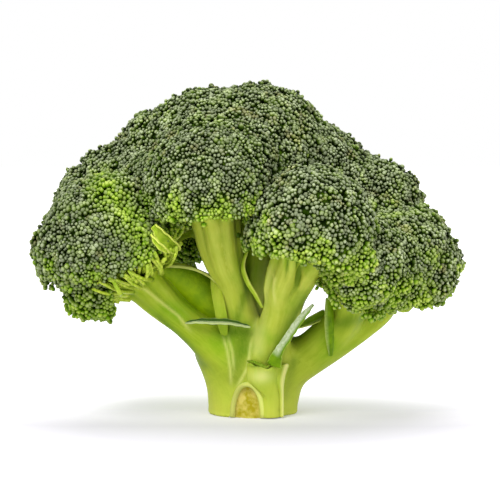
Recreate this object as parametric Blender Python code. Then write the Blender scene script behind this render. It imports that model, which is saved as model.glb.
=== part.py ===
"""A head of broccoli standing on its cut stem: a fluted stalk, the branches that fork from it,
a domed crown of buds on each branch and the leaf remnants left by trimming. Metres, +Z up."""

import math
import random

import bmesh
import bpy
from mathutils import Vector

MM = 0.001
GAP = 0.3  # every length below is in millimetres; touching pieces stay this far apart
STALK_HALF_WIDTH = 17.6
STALK_HALF_DEPTH = 16.4
STALK_TOP = 44.0
FORK = Vector((0.0, 0.0, 20.0))  # where the lower branches meet
CROTCH = Vector((-1.0, 5.0, 43.0))  # where the leader forks again
STALK_SIDES = 40
RING_SIDES = 16  # round a branch
PATH_STEPS = 3  # rings between two way points of a branch
FLUTE_DEPTH = 0.05  # as a share of the radius
CROWN_DETAIL = 4
CROWN_LUMPS = 15
DOME_SHARE = 1.42  # of a whole sphere's height of 2, from the dome's tip down to its lowest lumps
LEAF_THICKNESS = 1.3
LEAF_COLUMNS = 5
SCAR_RIM = 1.15  # radius of the rim round the leaf scar

# Each crown: centre, radius, the way its dome faces, how far below the centre its underside lies
# (as a share of the radius), and the branch's way points with its radius at each.
FLORETS = {
    "left": ((-54, -18, 66), 30.0, (-0.68, -0.22, 0.70), 0.45,
             ((-2, -3, 14), (-19, -8, 36), (-32, -11, 48)), (11.5, 11.0, 11.5)),
    "centre": ((-15, -27, 88), 27.0, (-0.12, -0.30, 0.94), 0.18,
               ((-1, -4, 16), (-5, -13, 46), (-10, -18, 62)), (9.0, 8.2, 8.6)),
    "front": ((22, -37, 75), 25.5, (0.30, -0.12, 0.94), 0.20,
              ((3, -4, 12), (9, -16, 34), (15, -26, 54)), (8.5, 8.0, 8.6)),
    "right": ((54, -8, 62), 27.5, (0.66, -0.12, 0.74), 0.46,
              ((2, -1, 11), (23, -5, 22.5), (37, -7, 36)), (10.5, 8.8, 8.4)),
    "back_left": ((-42, 33, 70), 26.0, (-0.50, 0.52, 0.69), 0.50,
                  ((-1, 3, 14), (-13, 16, 34), (-24, 24, 48)), (9.5, 8.4, 8.6)),
    "back_centre": ((-8, 40, 81), 27.0, (-0.08, 0.58, 0.81), 0.50,
                    ((0, 3, 16), (-1, 19, 40), (-3, 25, 54)), (9.0, 8.0, 8.6)),
    "back_right": ((27, 36, 78), 26.0, (0.32, 0.52, 0.79), 0.50,
                   ((1, 3, 14), (8, 17, 38), (14, 24, 54)), (9.5, 8.0, 8.6)),
    "top": ((4, 3, 101), 28.5, (0.03, 0.0, 1.0), 0.50,
            ((-1, 5, 42), (2, 4, 62), (3, 3, 76)), (8.0, 7.2, 8.0)),
    "top_left": ((-24, 5, 98.5), 27.5, (-0.22, 0.02, 0.97), 0.50,
                 ((-1, 5, 42), (-10, 5, 64), (-15, 5, 76)), (7.5, 6.2, 7.0)),
    "top_right": ((25, 8, 91), 25.5, (0.30, 0.08, 0.95), 0.50,
                  ((-1, 5, 42), (11, 7, 63), (18, 8, 74)), (7.5, 6.2, 7.0)),
    "upper_left": ((-50, 10, 77.5), 28.5, (-0.45, 0.08, 0.89), 0.50,
                   ((-1, 5, 42), (-15, 8, 62), (-28, 10, 68)), (6.5, 5.6, 6.6)),
    "upper_right": ((45, 10, 77), 25.0, (0.58, 0.10, 0.81), 0.50,
                    ((-1, 5, 42), (15, 7, 56), (28, 9, 63)), (6.5, 5.6, 6.6)),
    "lower_right": ((42, -31, 60), 19.0, (0.45, -0.36, 0.82), 0.40,
                    ((33, -9, 31), (37, -17, 42), (38.5, -24, 50)), (5.0, 4.6, 5.6)),
    "far_right": ((45, 28, 66), 22.5, (0.62, 0.42, 0.66), 0.45,
                  ((11, 19, 44), (22, 24, 54), (30, 26, 57)), (5.2, 5.0, 6.0)),
}
LOWER = {"left": 13.0, "centre": 9.0, "front": 13.5, "right": 17.0,
         "back_left": 12.0, "back_centre": 10.5, "back_right": 12.0}
UPPER = {"top": 9.0, "top_left": 9.5, "top_right": 9.5, "upper_left": 10.0, "upper_right": 10.0}
# Pieces whose root or side is shaped to a neighbour that they would otherwise run into.
FITTED = {
    "branch_lower_right": ("branch_right", "crown_right"),
    "branch_far_right": ("branch_back_right",),
    "branch_back_right": ("crown_far_right",),
    "branch_top": ("crown_top_right",),
    "branch_upper_left": ("crown_back_left", "crown_left", "branch_back_left"),
    "branch_upper_right": ("crown_right", "crown_far_right", "branch_far_right"),
}
LOW_LOBE = (Vector((-57, -25, 51)), 14.5)  # the small lobe that hangs under the left crown
# Each leaf remnant: its midrib's points, the width and the height of the midrib at each, the way it
# lies across, its colour and the pieces it is fitted to.
LEAVES = {
    "leaf_front": (
        ((5.5, -13, 20.5), (8.5, -22.5, 24.5), (12.5, -27.5, 30), (17.5, -31, 37.5), (21, -33, 43)),
        (6.0, 7.5, 7.0, 4.5, 1.4), (0.6, 1.4, 1.6, 1.0, 0.3), (0.85, 0.0, -0.5),
        "silver", ("branch_front", "stalk_foot")),
    "leaf_right": (
        ((29.5, -11, 24.5), (29.2, -17, 32), (29.2, -19.5, 40), (29.5, -20.5, 47)),
        (5.0, 5.4, 4.4, 1.4), (0.7, 1.2, 1.0, 0.3), (1, 0.1, 0),
        "leaf", ("branch_right", "branch_lower_right")),
    "bract_right": (
        ((28, -8, 30), (25.5, -10, 36.8), (21.5, -12, 36), (17.5, -13.5, 33)),
        (4.6, 4.6, 4.2, 1.6), (0.4, 0.8, 0.8, 0.3), (0.2, 1, 0.3),
        "leaf", ("branch_right", "branch_front")),
    "bract_left": (
        ((-26, -20, 37.5), (-19, -20, 36), (-11, -17.6, 35.8), (-3, -19.4, 35)),
        (1.6, 4.4, 4.4, 1.6), (0.2, 0.6, 0.6, 0.2), (0, -1, 0.3),
        "leaf", ("branch_left", "branch_centre", "branch_front")),
    "bract_centre": (
        ((6.5, -20, 41.5), (1.5, -22.5, 50), (-1.5, -25, 60), (-2.7, -26, 67.5)),
        (4.0, 4.0, 3.6, 1.6), (0.2, 0.8, 0.8, 0.2), (0.5, -1, 0),
        "leaf", ("branch_front", "branch_centre")),
    "bract_fork": (
        ((-37, -19, 55), (-31, -26, 61.5), (-24, -26, 61), (-17.5, -25, 56)),
        (3.6, 4.2, 4.2, 1.6), (0.2, 0.7, 0.7, 0.2), (0, -0.7, 0.7),
        "leaf", ("branch_left", "crown_left")),
}
LEADER_RADIUS = 11.5
LEADER_REACH = 9.0  # from the fork to where the leader leaves the stalk


def material(name, colour, roughness):
    made = bpy.data.materials.new(name)
    made.use_nodes = True
    shader = made.node_tree.nodes["Principled BSDF"]
    shader.inputs["Base Color"].default_value = (*colour, 1.0)
    shader.inputs["Roughness"].default_value = roughness
    shader.inputs["Metallic"].default_value = 0.0
    made.diffuse_color = (*colour, 1.0)
    return made


def solid(bm, name, coat, soft=True):
    """Closes a bmesh held in millimetres into one object in metres."""
    bmesh.ops.remove_doubles(bm, verts=bm.verts, dist=0.02)
    bmesh.ops.recalc_face_normals(bm, faces=bm.faces)
    bmesh.ops.scale(bm, vec=(MM, MM, MM), verts=bm.verts)
    mesh = bpy.data.meshes.new(name)
    bm.to_mesh(mesh)
    bm.free()
    if coat is not None:
        mesh.materials.append(coat)
    made = bpy.data.objects.new(name, mesh)
    bpy.context.scene.collection.objects.link(made)
    if soft:
        mesh.shade_smooth()
        mesh.set_sharp_from_angle(angle=math.radians(38))
    return made


def keep(bm, point, outward):
    """Cuts away what lies beyond the plane and closes the cut with a flat face."""
    cut = bmesh.ops.bisect_plane(
        bm, geom=bm.verts[:] + bm.edges[:] + bm.faces[:], plane_co=point, plane_no=outward,
        clear_outer=True, dist=0.001,
    )
    rim = [e for e in cut["geom_cut"] if isinstance(e, bmesh.types.BMEdge) and e.is_boundary]
    if rim:
        bmesh.ops.contextual_create(bm, geom=rim)


def frames(points):
    """A ring frame at every point of a path: the point, then two axes across the path."""
    across = Vector((0.31, 0.95, 0.0))
    made = []
    for i, point in enumerate(points):
        ahead = points[min(i + 1, len(points) - 1)] - points[max(i - 1, 0)]
        ahead.normalize()
        across = (across - ahead * across.dot(ahead)).normalized()
        made.append((point, across.copy(), ahead.cross(across)))
    return made


def smooth_path(way, steps):
    """Catmull-Rom points through the way points."""
    ends = [way[0] * 2 - way[1], *way, way[-1] * 2 - way[-2]]
    made = []
    for i in range(1, len(ends) - 2):
        a, b, c, d = ends[i - 1:i + 3]
        for k in range(steps):
            t = k / steps
            made.append(0.5 * (2 * b + (c - a) * t + (2 * a - 5 * b + 4 * c - d) * t ** 2
                               + (3 * b - a - 3 * c + d) * t ** 3))
    made.append(way[-1].copy())
    return made


def tube(points, radii, sides, flutes=0, flute_depth=0.0, turn=0.0):
    """A tube extruded ring by ring along the points, with shallow flutes, closed at both ends."""
    bm = bmesh.new()
    ring = bmesh.ops.create_circle(bm, segments=sides, radius=1.0, cap_ends=False)["verts"]
    first = ring
    for i, (point, u, v) in enumerate(frames(points)):
        if i:
            loop = {e for vert in ring for e in vert.link_edges if e.other_vert(vert) in ring}
            grown = bmesh.ops.extrude_edge_only(bm, edges=list(loop))["geom"]
            fresh = {e for e in grown if isinstance(e, bmesh.types.BMVert)}
            following = []
            for vert in ring:
                link = [e.other_vert(vert) for e in vert.link_edges]
                following.append(next(o for o in link if o in fresh))
            ring = following
        for k, vert in enumerate(ring):
            angle = 2 * math.pi * k / sides
            reach = radii[i] * (1 + flute_depth * math.cos(flutes * angle + turn))
            vert.co = point + u * math.cos(angle) * reach + v * math.sin(angle) * reach
    bm.faces.new(first)
    bm.faces.new(ring)
    bmesh.ops.recalc_face_normals(bm, faces=bm.faces)
    return bm


def floret_way(name):
    """The branch's path up to the underside of its crown, and its radius along it."""
    centre, radius, facing, drop, way, radii = FLORETS[name]
    facing = Vector(facing).normalized()
    under = Vector(centre) - facing * (radius * drop)
    stations = [Vector(p) for p in way] + [under + facing * 1.5]
    widths = list(radii) + [radius * 0.46]
    return stations, widths


def along(widths, steps):
    """Eases the radius from one way point to the next."""
    made = []
    for a, b in zip(widths, widths[1:]):
        for k in range(steps):
            t = k / steps
            made.append(a + (b - a) * t * t * (3 - 2 * t))
    return made + [widths[-1]]


def branch_body(name, grow=0.0):
    stations, widths = floret_way(name)
    widths = [w + grow for w in along(widths, PATH_STEPS)]
    flutes = 5 if name in LOWER else 4
    way = smooth_path(stations, PATH_STEPS)
    return tube(way, widths, RING_SIDES, flutes, FLUTE_DEPTH, len(name))


def heading(name, start):
    """The way a branch leaves the fork: towards its second way point."""
    if name == "leader":
        return Vector((-0.04, 0.22, 1.0)).normalized()
    return (Vector(FLORETS[name][4][1]) - start).normalized()


def between(bm, name, names, start):
    """Parts a branch from its neighbours by the planes halfway between their headings."""
    own = heading(name, start)
    for other in names:
        if other != name:
            outward = (heading(other, start) - own).normalized()
            keep(bm, start - outward * (GAP / 2), outward)


def branch(name, coat):
    centre, radius, facing, drop = FLORETS[name][:4]
    facing = Vector(facing).normalized()
    bm = branch_body(name)
    if name in LOWER:
        between(bm, name, [*LOWER, "leader"], FORK)
        own = heading(name, FORK)
        keep(bm, FORK + own * (LOWER[name] + GAP), -own)
    if name in UPPER:
        between(bm, name, UPPER, CROTCH)
        own = heading(name, CROTCH)
        keep(bm, CROTCH + own * (UPPER[name] + GAP), -own)
    keep(bm, Vector(centre) - facing * (radius * drop + GAP), facing)
    return solid(bm, "branch_" + name, coat)


def stalk_ring(angle, height):
    """The stalk's side at one height: oval, fluted, waisted a little and spreading to the fork."""
    spread = 1.0 + 0.30 * max(0.0, (height - 11.0) / 33.0) ** 1.6
    waist = 1.0 - 0.035 * math.exp(-((height - 9.0) / 6.0) ** 2)
    flute = 1.0 + 0.028 * math.cos(5 * angle + 0.6) + 0.014 * math.cos(9 * angle + 2.0)
    root = 1.0 + 0.26 * max(0.0, math.cos(angle)) ** 2 * (height / 16.0) ** 1.5
    side = Vector((math.cos(angle) * STALK_HALF_WIDTH, math.sin(angle) * STALK_HALF_DEPTH, 0.0))
    return side * (spread * waist * flute * root) + Vector((0.0, 0.0, height))


def stalk_body(grow=0.0):
    heights = [0.0, 0.8, 4.0, 8.0, 12.0, 16.0, 20.0, 25.0, 30.0, STALK_TOP]
    bm = tube([Vector((0, 0, h)) for h in heights], [1.0] * len(heights), STALK_SIDES)
    bm.verts.ensure_lookup_table()
    for i, height in enumerate(heights):
        inset = 0.972 if i == 0 else 1.0
        for k in range(STALK_SIDES):
            place = stalk_ring(2 * math.pi * k / STALK_SIDES, height)
            out = Vector((place.x, place.y, 0.0)).normalized() * grow
            drawn_in = Vector((place.x * inset, place.y * inset, place.z))
            bm.verts[i * STALK_SIDES + k].co = drawn_in + out
    for name, reach in LOWER.items():
        own = heading(name, FORK)
        keep(bm, FORK + own * (reach + grow), own)
    own = heading("leader", FORK)
    keep(bm, FORK + own * (LEADER_REACH + grow), own)
    return bm


def leader(coat):
    """The upper stalk, from the lower fork to the one that carries the top crowns."""
    way = smooth_path([Vector((0, 1, 14)), Vector((-1, 5, 34)), Vector((-1, 6, 60))], PATH_STEPS)
    widths = along([LEADER_RADIUS + 1.0, LEADER_RADIUS, LEADER_RADIUS], PATH_STEPS)
    bm = tube(way, widths, 20, 5, FLUTE_DEPTH)
    between(bm, "leader", [*LOWER, "leader"], FORK)
    own = heading("leader", FORK)
    keep(bm, FORK + own * (LEADER_REACH + GAP), -own)
    for name, reach in UPPER.items():
        own = heading(name, CROTCH)
        keep(bm, CROTCH + own * reach, own)
    return solid(bm, "leader", coat)


def lumps(name):
    """The swellings of one crown: overlapping balls spread over its dome."""
    centre, radius, facing = FLORETS[name][:3]
    facing = Vector(facing).normalized()
    rng = random.Random(sum(ord(c) * (i + 3) for i, c in enumerate(name)))
    turn = facing.to_track_quat("Z", "Y")
    found = []
    for i in range(CROWN_LUMPS):
        tilt = math.acos(1.0 - DOME_SHARE * (i + 0.5) / CROWN_LUMPS) + rng.uniform(-0.07, 0.07)
        around = i * math.pi * (3.0 - math.sqrt(5.0)) + rng.uniform(-0.2, 0.2)
        way = Vector((math.sin(tilt) * math.cos(around), math.sin(tilt) * math.sin(around),
                      math.cos(tilt)))
        way.rotate(turn)
        size = radius * rng.uniform(0.50, 0.56)
        found.append((way * (radius * rng.uniform(0.995, 1.04) - size), size))
    found.append((Vector(), radius * 0.93))
    if name == "left":
        found.append((LOW_LOBE[0] - Vector(centre), LOW_LOBE[1]))
    return found


def reach(way, balls):
    """How far the outermost ball goes along a ray from the crown's centre."""
    best = 0.0
    for middle, size in balls:
        ahead = way.dot(middle)
        inside = size * size - middle.length_squared + ahead * ahead
        if inside > 0.0:
            best = max(best, ahead + math.sqrt(inside))
    return best


def crown_body(name, grow=0.0):
    centre, radius, facing, drop = FLORETS[name][:4]
    centre = Vector(centre)
    facing = Vector(facing).normalized()
    balls = lumps(name)
    bm = bmesh.new()
    bmesh.ops.create_icosphere(bm, subdivisions=CROWN_DETAIL, radius=1.0)
    for vert in bm.verts:
        way = vert.co.normalized()
        vert.co = centre + way * (reach(way, balls) + grow)
    keep(bm, centre - facing * (radius * drop + grow), -facing)
    for other, (middle, size, *_) in FLORETS.items():
        apart = Vector(middle) - centre
        if other == name or apart.length > 1.06 * (radius + size):
            continue
        share = 0.5 * (1.0 + (radius ** 2 - size ** 2) / apart.length_squared)
        outward = apart.normalized()
        keep(bm, centre + apart * share + outward * (grow - GAP / 2), outward)
    return bm


def crown(name, coat):
    return solid(crown_body(name), "crown_" + name, coat)


def fit_to(target, neighbours):
    """Carves its neighbours, each grown by the gap, out of the target."""
    for neighbour in neighbours:
        kind, name = neighbour.split("_", 1)
        if kind == "stalk":
            body = stalk_body(GAP)
        elif kind == "crown":
            body = crown_body(name, GAP)
        else:
            body = branch_body(name, GAP)
        cutter = solid(body, "cutter_" + target.name + "_" + neighbour, None, soft=False)
        cutter.hide_render = True
        cutter.display_type = "WIRE"
        carve = target.modifiers.new("fit_" + neighbour, "BOOLEAN")
        carve.operation = "DIFFERENCE"
        carve.solver = "EXACT"
        carve.object = cutter


def strap(name, points, widths, lifts, coat, sides):
    """A narrow leaf extruded along its points, raised along the midrib, of even thickness."""
    bm = bmesh.new()
    half = (LEAF_COLUMNS - 1) / 2
    row = [bm.verts.new((k, 0, 0)) for k in range(LEAF_COLUMNS)]
    for k in range(LEAF_COLUMNS - 1):
        bm.edges.new(row[k:k + 2])
    for i, (point, width, lift) in enumerate(zip(points, widths, lifts)):
        if i:
            loop = [e for e in bm.edges if e.verts[0] in row and e.verts[1] in row]
            grown = bmesh.ops.extrude_edge_only(bm, edges=loop)["geom"]
            fresh = {e for e in grown if isinstance(e, bmesh.types.BMVert)}
            row = [next(o for o in (e.other_vert(v) for e in v.link_edges) if o in fresh)
                   for v in row]
        ahead = points[min(i + 1, len(points) - 1)] - points[max(i - 1, 0)]
        across = (sides - ahead * (sides.dot(ahead) / ahead.length_squared)).normalized()
        up = across.cross(ahead).normalized()
        for k, vert in enumerate(row):
            share = (k - half) / half
            vert.co = point + across * (share * width / 2) + up * (lift * (1 - share * share))
    bmesh.ops.recalc_face_normals(bm, faces=bm.faces)
    shell = bm.faces[:]
    bmesh.ops.solidify(bm, geom=shell, thickness=LEAF_THICKNESS)
    return solid(bm, name, coat)


def on_stalk(angles, heights, inner, outer):
    """A plate that lies on the stalk's side: one grid of faces moved out, joined to one within."""
    bm = bmesh.new()
    bmesh.ops.create_grid(bm, x_segments=len(angles) - 1, y_segments=len(heights) - 1, size=1.0)
    bm.verts.ensure_lookup_table()
    columns = len(angles)
    body = bmesh.ops.extrude_face_region(bm, geom=bm.faces[:])
    lifted = [v for v in body["geom"] if isinstance(v, bmesh.types.BMVert)]
    base = [v for v in bm.verts if v not in set(lifted)]
    for group, away in ((base, inner), (lifted, outer)):
        order = sorted(group, key=lambda v: (round(v.co.y, 3), round(v.co.x, 3)))
        for n, vert in enumerate(order):
            row, column = divmod(n, columns)
            place = stalk_ring(angles[column], heights[row][column])
            out = Vector((place.x, place.y, 0.0)).normalized()
            vert.co = place + out * away[row][column]
    return bm


def leaf_base(coat):
    """The clasping foot of a trimmed leaf, right of the scar, with a wavy torn top."""
    turns = [math.radians(a) for a in (-78, -70, -62, -54, -46)]
    tops = (18.4, 20.2, 19.0, 21.8, 20.4)
    foot = 0.4
    rows = 6
    heights = [[foot + (top - foot) * k / (rows - 1) for top in tops] for k in range(rows)]
    inner = [[GAP] * len(turns) for _ in heights]
    outer = [[0.9, 1.9, 2.1, 1.9, 0.9] for _ in heights]
    made = solid(on_stalk(turns, heights, inner, outer), "leaf_base", coat)
    fit_to(made, ("branch_front",))


def leaf_scar(coat):
    """The arched scar a leaf stalk left at the foot: a raised horseshoe rim."""
    way = []
    for step in range(13):
        angle = math.radians(180 - 15 * step)
        swing = -99.5 + 17.5 * math.cos(angle)
        height = 0.9 + 13.0 * math.sin(angle) ** 0.8
        place = stalk_ring(math.radians(swing), height)
        out = Vector((place.x, place.y, 0.0)).normalized()
        way.append(place + out * (SCAR_RIM + GAP + 0.35))
    bm = tube(way, [SCAR_RIM] * len(way), 8)
    keep(bm, Vector((0, 0, GAP)), Vector((0, 0, -1)))
    return solid(bm, "leaf_scar", coat)


def leaves(coats):
    """The thin leaf remnants that trimming left between the branches, each rooted on a branch."""
    for name, (points, widths, lifts, across, coat, neighbours) in LEAVES.items():
        way = [Vector(p) for p in points]
        fit_to(strap(name, way, widths, lifts, coats[coat], Vector(across)), neighbours)


def main():
    for old in list(bpy.data.objects):
        bpy.data.objects.remove(old, do_unlink=True)
    stalk_coat = material("stalk_green", (0.42, 0.52, 0.09), 0.42)
    coats = {
        "leaf": material("leaf_green", (0.13, 0.24, 0.05), 0.50),
        "silver": material("leaf_silver", (0.36, 0.46, 0.24), 0.55),
    }
    solid(stalk_body(), "stalk", stalk_coat)
    leader(material("leader_green", (0.36, 0.48, 0.07), 0.42))
    for i, name in enumerate(FLORETS):
        shade = 0.92 + 0.05 * (i % 4)
        branch_coat = material("branch_" + name, (0.36 * shade, 0.50 * shade, 0.06), 0.42)
        crown_coat = material("crown_" + name, (0.12 * shade, 0.16 * shade, 0.06), 0.68)
        made = branch(name, branch_coat)
        fit_to(made, FITTED.get(made.name, ()))
        crown(name, crown_coat)
    leaf_base(material("leaf_base_green", (0.45, 0.52, 0.12), 0.45))
    leaf_scar(material("leaf_scar_pale", (0.52, 0.56, 0.20), 0.50))
    leaves(coats)


main()
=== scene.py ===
import math
import random

import bmesh
import bpy
import numpy as np
from mathutils import Matrix, Vector, kdtree, noise


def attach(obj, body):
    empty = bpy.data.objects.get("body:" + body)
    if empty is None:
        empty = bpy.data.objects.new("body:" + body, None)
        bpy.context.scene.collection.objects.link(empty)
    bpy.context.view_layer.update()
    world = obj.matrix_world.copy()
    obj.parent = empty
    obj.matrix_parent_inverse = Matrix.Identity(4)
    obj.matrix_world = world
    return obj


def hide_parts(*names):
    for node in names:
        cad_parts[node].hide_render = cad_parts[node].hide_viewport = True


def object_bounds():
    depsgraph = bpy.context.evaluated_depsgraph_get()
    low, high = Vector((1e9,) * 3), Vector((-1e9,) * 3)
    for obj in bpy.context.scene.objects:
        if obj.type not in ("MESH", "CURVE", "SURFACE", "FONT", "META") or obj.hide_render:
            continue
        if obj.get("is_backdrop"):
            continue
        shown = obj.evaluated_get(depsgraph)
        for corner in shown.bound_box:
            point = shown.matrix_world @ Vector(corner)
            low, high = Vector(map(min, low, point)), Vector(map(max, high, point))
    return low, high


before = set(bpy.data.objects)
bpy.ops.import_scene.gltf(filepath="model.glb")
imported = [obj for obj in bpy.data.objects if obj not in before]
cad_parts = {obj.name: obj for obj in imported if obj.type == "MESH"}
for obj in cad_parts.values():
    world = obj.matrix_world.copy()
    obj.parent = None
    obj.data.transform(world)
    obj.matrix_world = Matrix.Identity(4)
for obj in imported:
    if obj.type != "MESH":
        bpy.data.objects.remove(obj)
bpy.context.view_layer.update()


# The stalk and its branches. They grew as one piece: a thick stalk, cut flat at the foot, that forks
# low down into limbs, and each limb parts into branchlets under its crown. The skin is smooth, waxy
# and pale green, with fine streaks along the grain.
MM = 0.001  # sizes are in millimetres until a mesh is finished
CROWNS = {  # centre, radius, the way the dome faces, underside, hem (both below the centre, in radii)
    "left": ((-54, -18, 66), 30.0, (-0.68, -0.22, 0.70), 0.45, 0.24),
    "centre": ((-15, -27, 88), 27.0, (-0.10, -0.05, 0.99), 0.10, 0.17),
    "front": ((22, -37, 75), 25.5, (0.20, 0.0, 0.98), 0.20, 0.36),
    "right": ((56, -8, 59.0), 24.5, (0.66, -0.12, 0.74), 0.46, 0.46),
    "back_left": ((-42, 33, 70), 26.0, (-0.50, 0.52, 0.69), 0.50, 0.50),
    "back_centre": ((-8, 40, 81), 27.0, (-0.08, 0.58, 0.81), 0.50, 0.50),
    "back_right": ((27, 36, 78), 26.0, (0.32, 0.52, 0.79), 0.50, 0.50),
    "top": ((2, 3, 100), 28.5, (0.03, 0.0, 1.0), 0.50, 0.50),
    "top_left": ((-17.0, 5, 100.8), 26.8, (-0.22, 0.02, 0.97), 0.50, 0.50),
    "top_right": ((21.5, 8, 90.5), 24.8, (0.30, 0.08, 0.95), 0.50, 0.50),
    "upper_left": ((-49, 10, 77), 28.0, (-0.45, 0.08, 0.89), 0.50, 0.50),
    "upper_right": ((42.5, 10, 75.5), 24.5, (0.58, 0.10, 0.81), 0.50, 0.50),
    "lower_right": ((42, -31, 60), 19.0, (0.45, -0.36, 0.82), 0.40, 0.45),
    "far_right": ((45, 28, 66), 22.5, (0.62, 0.42, 0.66), 0.45, 0.45),
}
LIMBS = {  # the middle line of each limb below its crown: x, y, z and radius
    "left": ((-2, -3, 14, 11), (-12.4, -8, 26.5, 9.5), (-23.4, -12, 35.4, 6.8), (-33.6, -14, 44.4, 6.6)),
    "centre": ((-1, -4, 16, 9), (-4, -11, 36, 7.2), (-7.2, -15.5, 52, 6.0), (-11.8, -19.5, 65, 7.8)),
    "front": ((3, -4, 12, 8.5), (7, -13, 28, 7.6), (12, -21, 44, 8.0), (14.0, -26, 54, 9.6)),
    "right": ((2, -1, 11, 10.5), (20, -4, 22, 8.8), (32, -6, 29.5, 8.2), (42, -7, 35.5, 6.8),
              (50, -7.5, 43, 6.2)),
    "back_left": ((-1, 3, 14, 9.5), (-13, 16, 33, 8.0), (-25, 24, 45, 7.6)),
    "back_centre": ((0, 3, 16, 9), (-1, 19, 40, 8), (-3, 25, 54, 8.6)),
    "back_right": ((1, 3, 14, 9.5), (8, 17, 38, 8), (14, 24, 54, 8.6)),
    "top": ((0, -2, 38, 8), (2, -7, 56, 6.4), (3, -2, 76, 7.5)),
    "top_left": ((-1, 5, 42, 7.5), (-10, 5, 64, 6.2), (-15, 5, 76, 7)),
    "top_right": ((-1, 5, 42, 7.5), (11, 7, 63, 6.2), (18, 8, 74, 7)),
    "upper_left": ((-1, 5, 42, 6.5), (-11, 9, 62, 5.4), (-24, 14, 73, 5.6)),
    "upper_right": ((-1, 5, 42, 6.5), (15, 7, 56, 5.6), (28, 9, 63, 6.6)),
    "lower_right": ((17, -4, 20, 6), (24, -7, 26, 7.8), (32, -12, 34, 7.8), (38, -19, 43, 7.0)),
    "far_right": ((11, 19, 44, 5.2), (22, 24, 54, 5), (30, 26, 57, 6)),
}
REAR_LIMB = ((-2, 1, 14, 9), (-10, -1, 30, 8), (-20, -3, 43, 6.6), (-32, -6, 53, 6.4), (-43, -12, 61, 6.5))
LEADER = ((0, 1, 14, 12.5), (-1, 5, 34, 11.5), (-1, 6, 60, 10))
STALK_HALF_WIDTH = 17.6
STALK_HALF_DEPTH = 16.4
STALK_HEIGHTS = (0, 0.8, 4, 8, 12, 16, 20, 23, 26, 28.5, 30)  # the stations up its side
# How pale each limb's skin is: partly its own tone, partly a painted light that brightens the limbs that the
# lamps reach less.
PALENESS_AND_PAINTED_LIGHT = {"stalk": 0.55, "centre": 1.0, "front": 1.0, "top": 0.1, "leader": 0.3, "rear": 0.0, "left": 0.3,
            "right": 0.4, "lower_right": 0.45}
BRANCHLETS = 6
SKIN_VOXEL = 0.72
SKIN_KEPT = 0.64  # the share of the skin's triangles that thinning keeps
FORK_ROUNDS = 26  # how often the skin of the stalk and the fork is averaged, which rounds their creases
FORK_TOP, FORK_FADE = 50, 16  # no averaging above this height, and how far below it is full
FOOT_FADE = 3  # nor right at the foot, which keeps its cut edge


def smooth_line(way, steps=4):
    """Catmull-Rom stations through the way points. Each keeps its radius as a fourth number."""
    stops = [Vector(w) for w in way]
    stops = [stops[0] * 2 - stops[1], *stops, stops[-1] * 2 - stops[-2]]
    line = []
    for a, b, c, d in zip(stops, stops[1:], stops[2:], stops[3:]):
        for k in range(steps):
            t = k / steps
            line.append(0.5 * (2 * b + (c - a) * t + (2 * a - 5 * b + 4 * c - d) * t ** 2
                               + (3 * b - a - 3 * c + d) * t ** 3))
    return line + [stops[-2].copy()]


def rings(line):
    """The middle, two ways across and the radius of a limb at each station."""
    across = Vector((0.31, 0.95, 0.0))
    found = []
    for i, stop in enumerate(line):
        ahead = (line[min(i + 1, len(line) - 1)] - line[max(i - 1, 0)]).to_3d().normalized()
        across = (across - ahead * across.dot(ahead)).normalized()
        found.append((stop.to_3d(), across.copy(), ahead.cross(across), stop.w))
    return found


def grow_limb(bm, line, sides=14, flutes=(), foot=None):
    """Extrudes a round cap along the line. flutes are (number, depth, turn) of its shallow ribs."""
    verts = bmesh.ops.create_circle(bm, cap_ends=True, segments=sides, radius=1.0)["verts"]
    cap = verts[0].link_faces[0]
    for i, (middle, across, over, radius) in enumerate(rings(line)):
        if i:
            grown = bmesh.ops.extrude_face_region(bm, geom=[cap])["geom"]
            cap = next(g for g in grown if isinstance(g, bmesh.types.BMFace))
        for k, vert in enumerate(cap.verts):
            angle = 2 * math.pi * k / sides
            reach = radius * (1 + sum(d * math.cos(n * angle + turn) for n, d, turn in flutes))
            vert.co = middle + (across * math.cos(angle) + over * math.sin(angle)) * reach
            if foot:
                vert.co = foot(angle, middle.z)


def stalk_side(angle, height):
    """The stalk's side: oval and fluted, a little waisted, spreading to the fork."""
    spread = 1.0 + 0.30 * max(0.0, (height - 11.0) / 33.0) ** 1.6
    spread -= 0.72 * max(0.0, (height - 23.0) / 8.0) ** 2
    waist = 1.0 - 0.035 * math.exp(-((height - 9.0) / 6.0) ** 2)
    flute = 1.0 + 0.028 * math.cos(5 * angle + 0.6) + 0.014 * math.cos(9 * angle + 2.0)
    root = 1.0 + 0.26 * max(0.0, math.cos(angle)) ** 2 * (height / 16.0) ** 1.5
    root += 0.13 * max(0.0, -math.cos(angle)) ** 2 * (height / 16.0) ** 1.8
    trim = 0.972 if height < 0.1 else 1.0
    out = spread * waist * flute * root * trim
    return Vector((math.cos(angle) * STALK_HALF_WIDTH * out, math.sin(angle) * STALK_HALF_DEPTH * out,
                   height))


def under_crown(name):
    """The middle of a crown's underside, and the way its dome faces."""
    centre, radius, facing, underside, hem = CROWNS[name]
    facing = Vector(facing).normalized()
    return Vector(centre) - facing * (radius * underside), facing


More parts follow.
